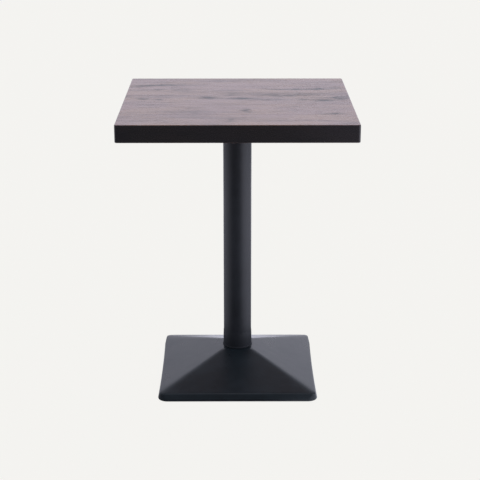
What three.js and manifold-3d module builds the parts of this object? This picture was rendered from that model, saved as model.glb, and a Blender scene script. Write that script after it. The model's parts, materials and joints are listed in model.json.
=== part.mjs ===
// A square bistro table: a thick top of five glued wooden staves, a round steel column and a hollow
// cast-iron pyramid base, drawn together by one tie rod and stood on four screw-in levelling glides.
// Millimetres, +Z up. The origin is on the floor under the column's centre, and the staves run along X.
import * as THREE from "three";
import { mergeVertices } from "three/addons/utils/BufferGeometryUtils.js";
import Module from "manifold-3d";

const wasm = await Module();
wasm.setup();

// Whole table
const TABLE_HEIGHT = 775;
const FIT_GAP = 0.2; // left between pieces that bolt or slip together

// Top: staves side by side across Y, glued face to face
const TOP_SIDE = 600;
const TOP_THICKNESS = 45;
const TOP_CORNER_RADIUS = 6;
const TOP_ARRIS_RADIUS = 2.5;
const STAVE_COUNT = 5;
const TOP_UNDERSIDE = TABLE_HEIGHT - TOP_THICKNESS;

// Base: a pyramid shell with a flared lip, a flat platform for the column and an open underside
const BASE_SIDE = 428; // across the foot of the lip, at its corners
const BASE_FLARE = 5; // how far the lip's foot stands out past its rim
const BASE_BOW = 2; // how far the middle of the foot's sides lies inside their ends
const FOOT_CORNER_RADIUS = 27;
const RIM_CORNER_RADIUS = 10;
const BASE_GROUND_GAP = 1.5;
const BASE_RIM_Z = 22;
const BASE_EDGE_RADIUS = 1.5;
const BASE_WALL = 8;
const PLATFORM_HALF = 41;
const PLATFORM_Z = 81;
const BASE_SLOPE = (PLATFORM_Z - BASE_RIM_Z) / (BASE_SIDE / 2 - BASE_FLARE - PLATFORM_HALF);
const CENTRE_BOSS_RADIUS = 30;
const CENTRE_BOSS_UNDERSIDE = 52;
const RIB_THICKNESS = 7;

// Column
const TUBE_RADIUS = 38;
const TUBE_WALL = 1.5;
const SPIGOT_RADIUS = TUBE_RADIUS - TUBE_WALL - 0.3;
const SPIGOT_HEIGHT = 12;
const COLLAR_RADIUS = 39;
const COLLAR_FOOT_RADIUS = 40.7;
const COLLAR_FLARE_HEIGHT = 9;
const COLLAR_TAPER_START = 28;
const COLLAR_HEIGHT = 44;

// Spider: the crossed arms that carry the top on the column
const SPIDER_HUB_RADIUS = 43;
const SPIDER_HUB_HEIGHT = 14;
const SPIDER_ARM_THICKNESS = 6;
const SPIDER_ARM_HALF_WIDTH = 17;
const SPIDER_ARM_REACH = 125; // hub centre to the centre of the arm's round end
const SPIDER_INNER_SCREW_REACH = 62;
const NUT_RECESS_RADIUS = 16.5;
const NUT_RECESS_DEPTH = 9.5;
const SPIDER_TOP = TOP_UNDERSIDE - FIT_GAP;
const SPIDER_HUB_UNDERSIDE = SPIDER_TOP - SPIDER_HUB_HEIGHT;

// Tie rod, M12, and its nuts and washers
const ROD_RADIUS = 6;
const ROD_BORE_RADIUS = 6.6;
const NUT_ACROSS_FLATS = 18;
const FOOT_NUT_HEIGHT = 10;
const THIN_NUT_HEIGHT = 6;
const ROD_PAST_FOOT_NUT = 4.5;
const FOOT_WASHER = { radius: 18, thickness: 3 };
const LOCK_WASHER = { radius: 10.5, thickness: 3, split: 2 };
const TOP_WASHER = { radius: 12, thickness: 2 };

// Pan-head wood screws through the spider's arms
const SCREW_SHANK_RADIUS = 2.5;
const SCREW_LENGTH = 30;
const SCREW_POINT_LENGTH = 6;
const SCREW_HEAD_RADIUS = 4.6;
const SCREW_HEAD_HEIGHT = 3.2;
const SCREW_SLOT = { length: 5, width: 1.2, depth: 1.8 };
const PILOT_DEPTH = 26;

// Levelling glides, M8 stems in swivelling pads
const GLIDE_OFFSET = 160; // from the table's centre, along X and Y
const GLIDE_BOSS_RADIUS = 12;
const GLIDE_BOSS_UNDERSIDE = 16;
const GLIDE_BORE_TOP = 36;
const STEM_RADIUS = 3.9;
const STEM_BORE_RADIUS = 4.15;
const STEM_TOP = 31.7;
const STEM_FOOT = { radius: 6, low: 3.1, high: 5.7 };
const STEM_HEX = { acrossFlats: 13, low: 7.6, high: 11.6 };
const PAD_RADIUS = 14.5;
const PAD_HEIGHT = 7.2;
const PAD_SOCKET = { radius: 6.3, low: 2.9, high: 5.9, mouthRadius: 4.3 };

// Facets round a circle, by size
const TUBE_FACETS = 72;
const BOSS_FACETS = 36;
const SMALL_FACETS = 24;
const CORNER_SEGMENTS = 8;
const EDGE_SEGMENTS = 3;
const OVERRUN = 1; // how far a cutter runs past the face it cuts

// The signs of X and Y at a square's corners, in order round Z
const CORNERS = [[1, 1], [-1, 1], [-1, -1], [1, -1]];

// Solids

function solidOf(geometry) {
  const bare = geometry.clone();
  for (const name of ["normal", "uv"]) bare.deleteAttribute(name);
  const merged = mergeVertices(bare);
  return new wasm.Manifold(
    new wasm.Mesh({
      numProp: 3,
      vertProperties: merged.attributes.position.array,
      triVerts: new Uint32Array(merged.index.array),
    }),
  );
}

function geometryOf(solid) {
  const mesh = solid.getMesh();
  const geometry = new THREE.BufferGeometry();
  geometry.setAttribute("position", new THREE.BufferAttribute(mesh.vertProperties, mesh.numProp));
  geometry.setIndex(new THREE.BufferAttribute(mesh.triVerts, 1));
  geometry.computeVertexNormals();
  return geometry;
}

function join(first, ...others) {
  return others.reduce((whole, piece) => whole.add(piece), first);
}

function cut(first, ...cutters) {
  return cutters.reduce((rest, cutter) => rest.subtract(cutter), first);
}

// An upright cylinder, or prism, from zLow to zHigh
function upright(radius, zLow, zHigh, facets = BOSS_FACETS) {
  const geometry = new THREE.CylinderGeometry(radius, radius, zHigh - zLow, facets);
  return solidOf(geometry.rotateX(Math.PI / 2).translate(0, 0, (zLow + zHigh) / 2));
}

function box(xSize, ySize, zLow, zHigh) {
  const geometry = new THREE.BoxGeometry(xSize, ySize, zHigh - zLow);
  return solidOf(geometry.translate(0, 0, (zLow + zHigh) / 2));
}

// A solid of revolution about Z, from a closed or axis-to-axis outline of (radius, z) points
function turned(outline, facets = BOSS_FACETS) {
  return solidOf(new THREE.LatheGeometry(outline, facets).rotateX(Math.PI / 2));
}

function points(...pairs) {
  return pairs.map(([radius, z]) => new THREE.Vector2(radius, z));
}

function ring(innerRadius, outerRadius, zLow, zHigh, facets = BOSS_FACETS) {
  return turned(
    points(
      [innerRadius, zLow],
      [outerRadius, zLow],
      [outerRadius, zHigh],
      [innerRadius, zHigh],
      [innerRadius, zLow],
    ),
    facets,
  );
}

// An upright hexagonal prism with its corners chamfered at the ends, as on a nut
function hexagon(acrossFlats, zLow, zHigh) {
  const flat = acrossFlats / 2;
  const corner = acrossFlats / Math.sqrt(3);
  const drop = (corner - flat) / 2;
  const prism = upright(corner, zLow, zHigh, 6);
  const chamfer = turned(
    points([0, zLow], [flat, zLow], [corner, zLow + drop], [corner, zHigh - drop], [flat, zHigh], [0, zHigh]),
    BOSS_FACETS,
  );
  return prism.intersect(chamfer);
}

// A round-cornered square; the middle of each side lies bow inside its ends
function squareOutline(half, cornerRadius, bow) {
  const inset = half - cornerRadius;
  const outline = new THREE.Shape();
  CORNERS.forEach(([x, y], index) => {
    const [start, end] = [index, index + 1].map((quarter) => (quarter * Math.PI) / 2);
    outline.absarc(x * inset, y * inset, cornerRadius, start, end);
    if (bow > 0) {
      const [nextX, nextY] = CORNERS[(index + 1) % 4];
      const pull = (half - 2 * bow) / 2;
      outline.quadraticCurveTo(
        (x + nextX) * pull,
        (y + nextY) * pull,
        nextX * inset + cornerRadius * Math.cos(end),
        nextY * inset + cornerRadius * Math.sin(end),
      );
    }
  });
  outline.closePath();
  return outline;
}

// An upright block on that outline, with its upper and lower edges rounded to edgeRadius
function squareBlock(half, cornerRadius, edgeRadius, zLow, zHigh, bow = 0) {
  const geometry = new THREE.ExtrudeGeometry(squareOutline(half, cornerRadius, bow), {
    depth: zHigh - zLow - 2 * edgeRadius,
    curveSegments: CORNER_SEGMENTS,
    bevelEnabled: edgeRadius > 0,
    bevelThickness: edgeRadius,
    bevelSize: edgeRadius,
    bevelOffset: -edgeRadius,
    bevelSegments: EDGE_SEGMENTS,
  });
  return geometry.translate(0, 0, zLow + edgeRadius);
}

// The table top and its screws

function screwPlaces() {
  const places = [];
  for (const quarter of [0, 1, 2, 3]) {
    const turn = Math.PI / 4 + (quarter * Math.PI) / 2;
    for (const reach of [SPIDER_INNER_SCREW_REACH, SPIDER_ARM_REACH]) {
      places.push([reach * Math.cos(turn), reach * Math.sin(turn)]);
    }
  }
  return places;
}

function staves() {
  const blank = solidOf(
    squareBlock(TOP_SIDE / 2, TOP_CORNER_RADIUS, TOP_ARRIS_RADIUS, TOP_UNDERSIDE, TABLE_HEIGHT),
  );
  const pilots = screwPlaces().map(([x, y]) =>
    upright(SCREW_SHANK_RADIUS + FIT_GAP, TOP_UNDERSIDE - OVERRUN, TOP_UNDERSIDE + PILOT_DEPTH, SMALL_FACETS)
      .translate(x, y, 0),
  );
  const drilled = cut(blank, ...pilots);
  const width = TOP_SIDE / STAVE_COUNT;
  return Array.from({ length: STAVE_COUNT }, (_, index) => {
    const centre = width * (index + 0.5) - TOP_SIDE / 2;
    const stave = box(TOP_SIDE + 2 * OVERRUN, width, TOP_UNDERSIDE - OVERRUN, TABLE_HEIGHT + OVERRUN);
    return drilled.intersect(stave.translate(0, centre, 0));
  });
}

function woodScrew() {
  const seat = SPIDER_TOP - SPIDER_ARM_THICKNESS - FIT_GAP;
  const head = seat - SCREW_HEAD_HEIGHT;
  const tip = seat + SCREW_LENGTH;
  const crown = new THREE.Path();
  crown.moveTo(0, head);
  crown.lineTo(SCREW_HEAD_RADIUS * 0.6, head);
  crown.quadraticCurveTo(SCREW_HEAD_RADIUS, head, SCREW_HEAD_RADIUS, seat - 0.8);
  crown.lineTo(SCREW_HEAD_RADIUS, seat);
  crown.lineTo(SCREW_SHANK_RADIUS, seat);
  crown.lineTo(SCREW_SHANK_RADIUS, tip - SCREW_POINT_LENGTH);
  crown.lineTo(0, tip);
  const blank = turned(crown.getPoints(3), SMALL_FACETS);
  const slotTop = head + SCREW_SLOT.depth;
  return cut(
    blank,
    box(SCREW_SLOT.length, SCREW_SLOT.width, head - OVERRUN, slotTop),
    box(SCREW_SLOT.width, SCREW_SLOT.length, head - OVERRUN, slotTop),
  );
}

// Spider: two crossed arms, a hub that sits on the tube, and a spigot that centres it inside the tube
function spider() {
  const reach = SPIDER_ARM_REACH;
  const halfWidth = SPIDER_ARM_HALF_WIDTH;
  const outline = new THREE.Shape();
  outline.absarc(reach, 0, halfWidth, -Math.PI / 2, Math.PI / 2);
  outline.absarc(-reach, 0, halfWidth, Math.PI / 2, (3 * Math.PI) / 2);
  outline.closePath();
  const armsUnderside = SPIDER_TOP - SPIDER_ARM_THICKNESS;
  const plate = new THREE.ExtrudeGeometry(outline, {
    depth: SPIDER_ARM_THICKNESS,
    bevelEnabled: false,
    curveSegments: 12,
  });
  const arms = solidOf(plate.translate(0, 0, armsUnderside));
  const hub = upright(SPIDER_HUB_RADIUS, SPIDER_HUB_UNDERSIDE, SPIDER_TOP);
  const spigot = upright(SPIGOT_RADIUS, SPIDER_HUB_UNDERSIDE - SPIGOT_HEIGHT, SPIDER_TOP - NUT_RECESS_DEPTH);
  const screwHoles = screwPlaces().map(([x, y]) =>
    upright(SCREW_SHANK_RADIUS + 0.5, armsUnderside - OVERRUN, SPIDER_TOP + OVERRUN, SMALL_FACETS)
      .translate(x, y, 0),
  );
  return cut(
    join(arms.rotate([0, 0, 45]), arms.rotate([0, 0, 135]), hub, spigot),
    upright(NUT_RECESS_RADIUS, SPIDER_TOP - NUT_RECESS_DEPTH, SPIDER_TOP + OVERRUN),
    upright(ROD_BORE_RADIUS, SPIDER_HUB_UNDERSIDE - SPIGOT_HEIGHT - OVERRUN, SPIDER_TOP, SMALL_FACETS),
    ...screwHoles,
  );
}

// Column: the tube, and the trim collar that hides its foot

function tube() {
  return ring(
    TUBE_RADIUS - TUBE_WALL,
    TUBE_RADIUS,
    PLATFORM_Z + FIT_GAP,
    SPIDER_HUB_UNDERSIDE - FIT_GAP,
    TUBE_FACETS,
  );
}

function collar() {
  const bore = TUBE_RADIUS + FIT_GAP;
  const foot = PLATFORM_Z + FIT_GAP;
  const flare = foot + COLLAR_FLARE_HEIGHT;
  const taper = foot + COLLAR_TAPER_START;
  const head = foot + COLLAR_HEIGHT;
  const footEdge = 1.2;
  const lipThickness = 0.35;
  const outline = new THREE.Path();
  outline.moveTo(bore, foot);
  outline.lineTo(COLLAR_FOOT_RADIUS, foot);
  outline.lineTo(COLLAR_FOOT_RADIUS, foot + footEdge);
  outline.quadraticCurveTo(COLLAR_RADIUS, foot + 3 * footEdge, COLLAR_RADIUS, flare);
  outline.lineTo(COLLAR_RADIUS, taper);
  outline.quadraticCurveTo(COLLAR_RADIUS, (taper + head) / 2, bore + lipThickness, head);
  outline.lineTo(bore, head);
  outline.closePath();
  return turned(outline.getPoints(4), TUBE_FACETS);
}

// Base casting

// A square frustum that follows the base's slope, lowered by drop, from zLow up to zHigh
function slopedBlock(drop, zLow, zHigh) {
  const halfAt = (z) => PLATFORM_HALF + (PLATFORM_Z - drop - z) / BASE_SLOPE;
  const [low, high] = [halfAt(zLow), halfAt(zHigh)].map((half) => half * Math.SQRT2);
  const geometry = new THREE.CylinderGeometry(high, low, zHigh - zLow, 4).rotateY(Math.PI / 4);
  return solidOf(geometry.rotateX(Math.PI / 2).translate(0, 0, (zLow + zHigh) / 2));
}

// The base's plan, set in by inset and raised to zHigh; it leans in and its corners tighten as the lip rises
function lippedBlock(inset, edgeRadius, zLow, zHigh) {
  const half = BASE_SIDE / 2 - inset;
  const radius = FOOT_CORNER_RADIUS - inset;
  const core = half - radius;
  const geometry = squareBlock(half, radius, edgeRadius, zLow, zHigh, BASE_BOW);
  const corner = geometry.attributes.position;
  for (let index = 0; index < corner.count; index += 1) {
    const rise = (corner.getZ(index) - BASE_GROUND_GAP) / (BASE_RIM_Z - BASE_GROUND_GAP);
    const newRadius = radius - rise * (FOOT_CORNER_RADIUS - RIM_CORNER_RADIUS);
    const newCore = half - rise * BASE_FLARE - newRadius;
    const moved = (value) => {
      const withinCore = Math.min(Math.abs(value), core) / core;
      const pastCore = Math.max(Math.abs(value) - core, 0) / radius;
      return Math.sign(value) * (withinCore * newCore + pastCore * newRadius);
    };
    corner.setXY(index, moved(corner.getX(index)), moved(corner.getY(index)));
  }
  return solidOf(geometry);
}

function glidePlaces() {
  return CORNERS.map(([x, y]) => [x * GLIDE_OFFSET, y * GLIDE_OFFSET]);
}

// A diagonal rib from the centre boss to a glide boss; it rises towards the centre, clear of the foot nut
function rib(turnDegrees) {
  const inner = CENTRE_BOSS_RADIUS - 3;
  const outer = GLIDE_OFFSET * Math.SQRT2 - GLIDE_BOSS_RADIUS + 3;
  const outline = new THREE.Shape(
    points(
      [inner, CENTRE_BOSS_UNDERSIDE],
      [outer, GLIDE_BOSS_UNDERSIDE],
      [outer, BASE_RIM_Z],
      [inner, PLATFORM_Z - BASE_WALL / 2],
    ),
  );
  const plate = new THREE.ExtrudeGeometry(outline, { depth: RIB_THICKNESS, bevelEnabled: false });
  return solidOf(plate.translate(0, 0, -RIB_THICKNESS / 2).rotateX(Math.PI / 2)).rotate([0, 0, turnDegrees]);
}

function baseCasting() {
  const roofDrop = BASE_WALL * Math.hypot(1, BASE_SLOPE);
  // Above these heights the slopes lie wholly inside the lip's plan, outside and inside the wall
  const outerClear = BASE_RIM_Z + 4;
  const innerClear = BASE_RIM_Z - 4;
  const lip = lippedBlock(0, BASE_EDGE_RADIUS, BASE_GROUND_GAP, outerClear + OVERRUN + BASE_EDGE_RADIUS);
  const skin = join(
    lip.intersect(slopedBlock(0, BASE_GROUND_GAP - OVERRUN, outerClear)),
    slopedBlock(0, outerClear - OVERRUN, PLATFORM_Z),
  );
  const hollow = join(
    lippedBlock(BASE_WALL, 0, BASE_GROUND_GAP - OVERRUN, innerClear).intersect(
      slopedBlock(roofDrop, BASE_GROUND_GAP - 2 * OVERRUN, innerClear),
    ),
    slopedBlock(roofDrop, innerClear - OVERRUN, PLATFORM_Z - roofDrop),
  );
  const bosses = glidePlaces().map(([x, y]) =>
    upright(GLIDE_BOSS_RADIUS, GLIDE_BOSS_UNDERSIDE, PLATFORM_Z).translate(x, y, 0).intersect(skin),
  );
  const bores = glidePlaces().map(([x, y]) =>
    upright(STEM_BORE_RADIUS, GLIDE_BOSS_UNDERSIDE - OVERRUN, GLIDE_BORE_TOP, SMALL_FACETS)
      .translate(x, y, 0),
  );
  const shell = join(
    cut(skin, hollow),
    upright(CENTRE_BOSS_RADIUS, CENTRE_BOSS_UNDERSIDE, PLATFORM_Z - BASE_WALL / 2),
    upright(SPIGOT_RADIUS, PLATFORM_Z - BASE_WALL / 2, PLATFORM_Z + SPIGOT_HEIGHT),
    ...[45, 135, 225, 315].map(rib),
    ...bosses,
  );
  const rodBore = upright(
    ROD_BORE_RADIUS,
    CENTRE_BOSS_UNDERSIDE - OVERRUN,
    PLATFORM_Z + SPIGOT_HEIGHT + OVERRUN,
    SMALL_FACETS,
  );
  return cut(shell, rodBore, ...bores);
}

// Tie rod stack, as [name, solid] pairs

function nut(zLow, height) {
  return cut(
    hexagon(NUT_ACROSS_FLATS, zLow, zLow + height),
    upright(ROD_RADIUS + FIT_GAP, zLow - OVERRUN, zLow + height + OVERRUN, SMALL_FACETS),
  );
}

function washer({ radius, thickness }, zLow) {
  return ring(ROD_RADIUS + FIT_GAP, radius, zLow, zLow + thickness);
}

function tieRodStack() {
  const footWasherZ = CENTRE_BOSS_UNDERSIDE - FIT_GAP - FOOT_WASHER.thickness;
  const lockWasherZ = footWasherZ - FIT_GAP - LOCK_WASHER.thickness;
  const footNutZ = lockWasherZ - FIT_GAP - FOOT_NUT_HEIGHT;
  const topWasherZ = SPIDER_TOP - NUT_RECESS_DEPTH + FIT_GAP;
  const topNutZ = topWasherZ + TOP_WASHER.thickness + FIT_GAP;
  const rodLow = footNutZ - ROD_PAST_FOOT_NUT;
  const rodHigh = topNutZ + THIN_NUT_HEIGHT + 0.5;
  const tip = 1; // chamfer at the rod's ends
  const rod = turned(
    points(
      [0, rodLow],
      [ROD_RADIUS - tip, rodLow],
      [ROD_RADIUS, rodLow + tip],
      [ROD_RADIUS, rodHigh - tip],
      [ROD_RADIUS - tip, rodHigh],
      [0, rodHigh],
    ),
    SMALL_FACETS,
  );
  const lockWasher = cut(
    washer(LOCK_WASHER, lockWasherZ),
    box(LOCK_WASHER.radius, LOCK_WASHER.split, lockWasherZ - OVERRUN, footWasherZ).translate(
      ROD_RADIUS + LOCK_WASHER.radius / 2 - OVERRUN,
      0,
      0,
    ),
  );
  return [
    ["tie_rod", rod],
    ["tie_rod_foot_washer", washer(FOOT_WASHER, footWasherZ)],
    ["tie_rod_lock_washer", lockWasher],
    ["tie_rod_foot_nut", nut(footNutZ, FOOT_NUT_HEIGHT)],
    ["tie_rod_top_washer", washer(TOP_WASHER, topWasherZ)],
    ["tie_rod_top_nut", nut(topNutZ, THIN_NUT_HEIGHT)],
  ];
}

// Levelling glide: the stem's flanged foot turns inside the pad's socket

function glideStem() {
  const tip = 0.8; // chamfer at the stem's upper end
  const stem = turned(
    points(
      [0, STEM_FOOT.low],
      [STEM_FOOT.radius, STEM_FOOT.low],
      [STEM_FOOT.radius, STEM_FOOT.high],
      [STEM_RADIUS, STEM_FOOT.high],
      [STEM_RADIUS, STEM_TOP - tip],
      [STEM_RADIUS - tip, STEM_TOP],
      [0, STEM_TOP],
    ),
    SMALL_FACETS,
  );
  return join(stem, hexagon(STEM_HEX.acrossFlats, STEM_HEX.low, STEM_HEX.high));
}

function glidePad() {
  const outline = new THREE.Path();
  outline.moveTo(0, 0);
  outline.lineTo(PAD_RADIUS - 1.3, 0);
  outline.quadraticCurveTo(PAD_RADIUS, 0, PAD_RADIUS, 1.3);
  outline.lineTo(PAD_RADIUS, 3.8);
  outline.quadraticCurveTo(PAD_RADIUS, PAD_HEIGHT - 1.2, PAD_RADIUS - 5.5, PAD_HEIGHT);
  outline.lineTo(PAD_SOCKET.mouthRadius, PAD_HEIGHT);
  outline.lineTo(PAD_SOCKET.mouthRadius, PAD_SOCKET.high);
  outline.lineTo(PAD_SOCKET.radius, PAD_SOCKET.high);
  outline.lineTo(PAD_SOCKET.radius, PAD_SOCKET.low);
  outline.lineTo(0, PAD_SOCKET.low);
  return turned(outline.getPoints(3), BOSS_FACETS);
}

// Assembly

const materials = {
  wood: new THREE.MeshStandardMaterial({ color: 0x4a3833, roughness: 0.42, metalness: 0 }),
  castIron: new THREE.MeshStandardMaterial({ color: 0x2a2c31, roughness: 0.55, metalness: 0 }),
  powderCoat: new THREE.MeshStandardMaterial({ color: 0x26282d, roughness: 0.45, metalness: 0 }),
  zincSteel: new THREE.MeshStandardMaterial({ color: 0xb4b6b8, roughness: 0.35, metalness: 1 }),
  nylon: new THREE.MeshStandardMaterial({ color: 0x1c1c1e, roughness: 0.6, metalness: 0 }),
};

const table = new THREE.Group();

function place(name, solid, material, [x, y] = [0, 0]) {
  const mesh = new THREE.Mesh(geometryOf(solid), material);
  mesh.name = name;
  mesh.position.set(x, y, 0);
  table.add(mesh);
}

staves().forEach((stave, index) => place(`top_stave_${index + 1}`, stave, materials.wood));
place("top_spider", spider(), materials.castIron);
place("column_tube", tube(), materials.powderCoat);
place("column_collar", collar(), materials.powderCoat);
place("base_casting", baseCasting(), materials.castIron);
for (const [name, solid] of tieRodStack()) place(name, solid, materials.zincSteel);

const screw = woodScrew();
screwPlaces().forEach((spot, index) => place(`top_screw_${index + 1}`, screw, materials.zincSteel, spot));

const stem = glideStem();
const pad = glidePad();
glidePlaces().forEach((spot, index) => {
  place(`glide_stem_${index + 1}`, stem, materials.zincSteel, spot);
  place(`glide_pad_${index + 1}`, pad, materials.nylon, spot);
});

export default table;
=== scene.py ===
import json
import math

import bmesh
import bpy
import numpy as np
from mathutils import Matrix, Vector, noise


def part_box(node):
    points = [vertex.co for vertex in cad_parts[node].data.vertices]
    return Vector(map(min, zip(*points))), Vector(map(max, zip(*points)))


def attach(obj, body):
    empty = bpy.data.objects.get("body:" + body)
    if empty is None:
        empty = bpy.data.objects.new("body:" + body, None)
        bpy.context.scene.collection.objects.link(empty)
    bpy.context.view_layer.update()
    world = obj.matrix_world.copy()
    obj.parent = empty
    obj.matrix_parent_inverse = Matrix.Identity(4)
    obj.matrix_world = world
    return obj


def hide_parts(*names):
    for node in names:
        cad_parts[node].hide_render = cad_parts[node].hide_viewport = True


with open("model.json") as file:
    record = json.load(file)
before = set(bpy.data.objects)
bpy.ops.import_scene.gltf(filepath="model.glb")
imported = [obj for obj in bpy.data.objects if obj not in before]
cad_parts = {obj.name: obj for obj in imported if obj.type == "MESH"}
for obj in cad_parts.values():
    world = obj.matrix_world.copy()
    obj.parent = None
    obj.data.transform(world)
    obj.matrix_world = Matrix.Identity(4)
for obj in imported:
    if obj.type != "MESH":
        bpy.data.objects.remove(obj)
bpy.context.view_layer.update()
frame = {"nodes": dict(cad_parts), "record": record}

record = frame["record"]
BODY_OF = {node: body for body, nodes in record["behaviour"]["bodies"].items() for node in nodes}
MM = 0.001

# Top
STAVES = [f"top_stave_{i}" for i in range(1, 6)]
TOP_CORNER_RADIUS = 6 * MM
TOP_ARRIS_RADIUS = 2.5 * MM
SEAM_CHAMFER = 0.35 * MM
SANDING_RELIEF = 0.06 * MM
SANDING_WAVES = (9, 40)  # to a metre, along and across the grain
TOP_MESH_STEP = 7 * MM
SEAM_MESH_STEP = 5 * MM

# Base casting
BASE_EDGE_RADIUS = 1.5 * MM
BASE_RIM_HEIGHT = 20.5 * MM  # from the lip's foot up to its rim, where the sloping faces begin
BASE_FLARE = 4.7 * MM  # how far the lip's foot stands out past its rim
BASE_BOW = 2 * MM  # how far the middle of the foot's sides lies inside their ends
FOOT_CORNER_RADIUS = 27 * MM
RIM_CORNER_RADIUS = 10 * MM
RIM_ROUNDING = 4 * MM
BASE_WALL = 8 * MM
# From the lip's inner side to the roof: (distance in, height below the roof, corner radius)
ROOF_FILLET = [(1.5 * MM, 5 * MM, 14 * MM), (3 * MM, 1.5 * MM, 12 * MM)]
ROOF_START = 8 * MM  # from the lip's inner side in to where the roof is even
HIP_RADIUS = 6 * MM  # at the platform; it grows towards the rim
HIP_GROWTH = 8 * MM
PLATFORM_HALF = 41 * MM
PLATFORM_BLEND = 1.2 * MM
SEAT_GAP = 0.2 * MM  # the tube's clearance over the platform
SPIGOT_INSET = 1.8 * MM  # from the tube's outside in to the spigot
CENTRE_BOSS_RADIUS = 30 * MM
CENTRE_BOSS_DROP = 29 * MM  # from the platform to the boss's underside
BOSS_FILLET = 3 * MM  # where the centre boss meets the roof
BOSS_EDGE_RADIUS = 1.5 * MM
ROUNDING_MIDDLE = 4 / 15  # how far its middle lies from the corner's sides, over its radius
SPIGOT_CHAMFER = 1 * MM
ROD_BORE_RADIUS = 6.6 * MM
ROD_BORE_CHAMFER = 0.8 * MM
RIB_THICKNESS = 7 * MM
RIB_OVERLAP = 3 * MM  # how far the ribs run into the bosses
GLIDE_BOSS_RADIUS = 12 * MM
GLIDE_BOSS_RISE = 14.5 * MM  # from the lip's foot to the bosses' undersides
GLIDE_BORE_DEPTH = 20 * MM
GLIDE_BORE_RADIUS = 4.15 * MM
CAST_WAVINESS = 0.12 * MM
CAST_WAVES, CAST_FINE_WAVES = 55, 130  # to a metre
FLAT_FOOT_HEIGHT = 6 * MM  # the waves grow from none at the lip's foot to their full height here

# Column
TUBE_WALL = 1.5 * MM
TUBE_EDGE_RADIUS = 0.4 * MM
COLLAR_CLEARANCE = 0.2 * MM
COLLAR_RADIUS = 39 * MM
COLLAR_FOOT_EDGE = 1.2 * MM
COLLAR_FLARE_HEIGHT = 9 * MM
COLLAR_TAPER_START = 28 * MM
COLLAR_LIP = 0.35 * MM  # the collar's thickness at its head
COLLAR_LIP_CHAMFER = (0.2 * MM, 0.3 * MM)  # in and down
COLLAR_SOLE_CHAMFER = 0.4 * MM

# Tie rod, M12
ROD_PITCH = 1.75 * MM
ROD_THREAD_DEPTH = 1.0 * MM
ROD_THREAD_LENGTH = 42 * MM
ROD_TIP = 1 * MM
ROD_CLEARANCE = 0.2 * MM  # the nuts' and the washers'
NUT_ACROSS_FLATS = 18 * MM
NUT_BORE_CHAMFER = 0.6 * MM
WASHER_EDGE_RADIUS = 0.5 * MM

# Wood screws
SCREW_SHANK_RADIUS = 2.5 * MM
SCREW_HEAD_HEIGHT = 3.2 * MM
SCREW_CROWN_HEIGHT = 2.4 * MM
SCREW_HEAD_EDGE = 0.3 * MM
SCREW_NECK = 2 * MM
SCREW_POINT = 6 * MM
SCREW_TIP_SHARE = 0.12  # the thread's width at the tip over its width on the shank
SCREW_PITCH = 2.2 * MM
SCREW_THREAD_DEPTH = 0.7 * MM
SCREW_SLOT_HALF_LENGTH = 2.7 * MM
SCREW_SLOT_HALF_WIDTH = 0.55 * MM
SCREW_SLOT_DEPTH = 2.0 * MM
SCREW_SLOT_FLOOR = 0.35  # the slot's size at its floor over its size at its mouth

# Levelling glides: M8 stems, and the pads that hold their feet. Heights are over each underside.
STEM_RADIUS = 3.9 * MM
STEM_PITCH = 1.25 * MM
STEM_THREAD_DEPTH = 0.65 * MM
STEM_TIP = 0.8 * MM
STEM_FOOT_RADIUS = 6 * MM
STEM_FOOT_TOP = 2.6 * MM
STEM_FOOT_EDGE = 0.4 * MM
STEM_ACROSS_FLATS = 13 * MM
STEM_HEXAGON_LOW = 4.5 * MM
STEM_HEXAGON_HIGH = 8.5 * MM
STEM_PLAIN = 0.6 * MM  # the length above the hexagon that has no thread
PAD_EDGE_RADIUS = 1.3 * MM
PAD_CROWN_START = 4 * MM
PAD_CROWN_INSET = 5.5 * MM
PAD_MOUTH_RADIUS = 4.3 * MM
PAD_MOUTH_EDGE = 0.3 * MM
PAD_SOCKET_RADIUS = 6.3 * MM
PAD_SOCKET_LOW = 2.9 * MM
PAD_SOCKET_HIGH = 5.9 * MM

# Camera
CAMERA_PLACE = (-0.0061, -3.3671, 1.4748)
CAMERA_DOWNWARD_TILT = 17.927
CAMERA_TURN = 0.224
CAMERA_LENS = 97.02
CAMERA_SENSOR = 36.0

# Studio. Patches of light are (compass direction, spread, strength); 0 degrees is +X and 90 is +Y.
BACKDROP_COLOUR = (0.914, 0.906, 0.880, 1)
STUDIO_COLOUR = (0.92, 0.925, 1.07, 1)
WALL_DIM = 0.20
WALL_ABOVE = 0.40
WALL_PATCHES = [(80, 55, 0.92), (-25, 50, 1.5), (165, 50, 0.60)]
FLOOR_HALF = 30.0
FLOOR_DIM = 0.16
FLOOR_PATCHES = [(80, 55, 0.80), (90, 22, 1.00), (-15, 58, 1.15), (172, 58, 0.60)]
# The floor's light grows and then fades with distance: (near, far, share at near, share at far).
# The low share near the table is a painted shadow of the table.
FLOOR_GROWTH = (0.2, 2.4, 0.70, 1.50)
FLOOR_FADE = (1.8, 3.6, 1.0, 0.45)
FLOOR_SHADING = 0.02  # how much of the floor's look comes from the light that falls on it
FLOOR_CONTACT = (3 * MM, 1 * MM)  # inside and outside the foot's edge; the share falls from 1


# ---- Meshes --------------------------------------------------------------------------------------

def make_object(name, vertices, faces):
    mesh = bpy.data.meshes.new(name)
    mesh.from_pydata([tuple(map(float, v)) for v in vertices], [], faces)
    surface = bmesh.new()
    surface.from_mesh(mesh)
    bmesh.ops.recalc_face_normals(surface, faces=surface.faces)
    surface.to_mesh(mesh)
    surface.free()
    made = bpy.data.objects.new(name, mesh)
    bpy.context.scene.collection.objects.link(made)
    return made


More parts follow.
